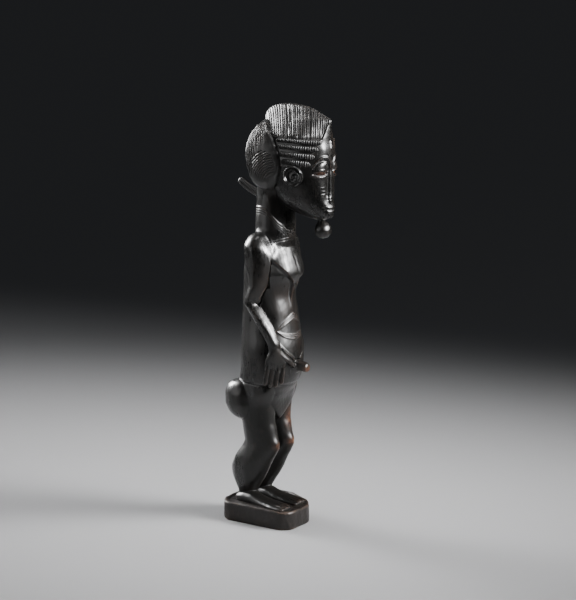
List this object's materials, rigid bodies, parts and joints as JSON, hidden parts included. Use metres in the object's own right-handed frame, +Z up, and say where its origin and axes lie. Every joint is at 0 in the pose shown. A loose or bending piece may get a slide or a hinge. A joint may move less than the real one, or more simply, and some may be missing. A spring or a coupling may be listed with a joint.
{
  "type": "carved standing figure",
  "caption": "Carved dark wood statuette of a standing bearded man with crested hair, bent knees and a hand on the belly, on a low plinth.",
  "frame": {"origin": "on the underside of the plinth, below the figure's neck and legs", "axes": "+Z up along the body, -Y the way the figure faces, -X its own right side"},
  "size_m": [0.0739, 0.1143, 0.4035],
  "materials": {
    "dark_patina": "near-black polished patina",
    "hair_patina": "near-black patina over fine grooves",
    "plinth_wood": "duller brown-black, worn at the edges",
    "worn_wood": "red-brown wood rubbed bare of patina"
  },
  "bodies": {
    "root": {"beard_bead": "dark_patina", "hair_crest": "hair_patina", "head": "dark_patina", "hips": "dark_patina", "left_ear": "dark_patina", "left_foot": "dark_patina", "left_forearm": "dark_patina", "left_hair_lobe": "hair_patina", "left_hand": "dark_patina", "left_lower_leg": "dark_patina", "left_thigh": "dark_patina", "left_tress_1": "hair_patina", "left_tress_2": "hair_patina", "left_tress_3": "hair_patina", "left_tress_4": "hair_patina", "left_upper_arm": "dark_patina", "loin_point": "dark_patina", "nape_braid": "hair_patina", "navel": "worn_wood", "neck": "dark_patina", "plinth": "plinth_wood", "right_ear": "dark_patina", "right_foot": "dark_patina", "right_forearm": "dark_patina", "right_hair_lobe": "hair_patina", "right_hand": "dark_patina", "right_lower_leg": "dark_patina", "right_thigh": "dark_patina", "right_tress_1": "hair_patina", "right_tress_2": "hair_patina", "right_tress_3": "hair_patina", "right_tress_4": "hair_patina", "right_upper_arm": "dark_patina", "torso": "dark_patina"}
  },
  "joints": []
}
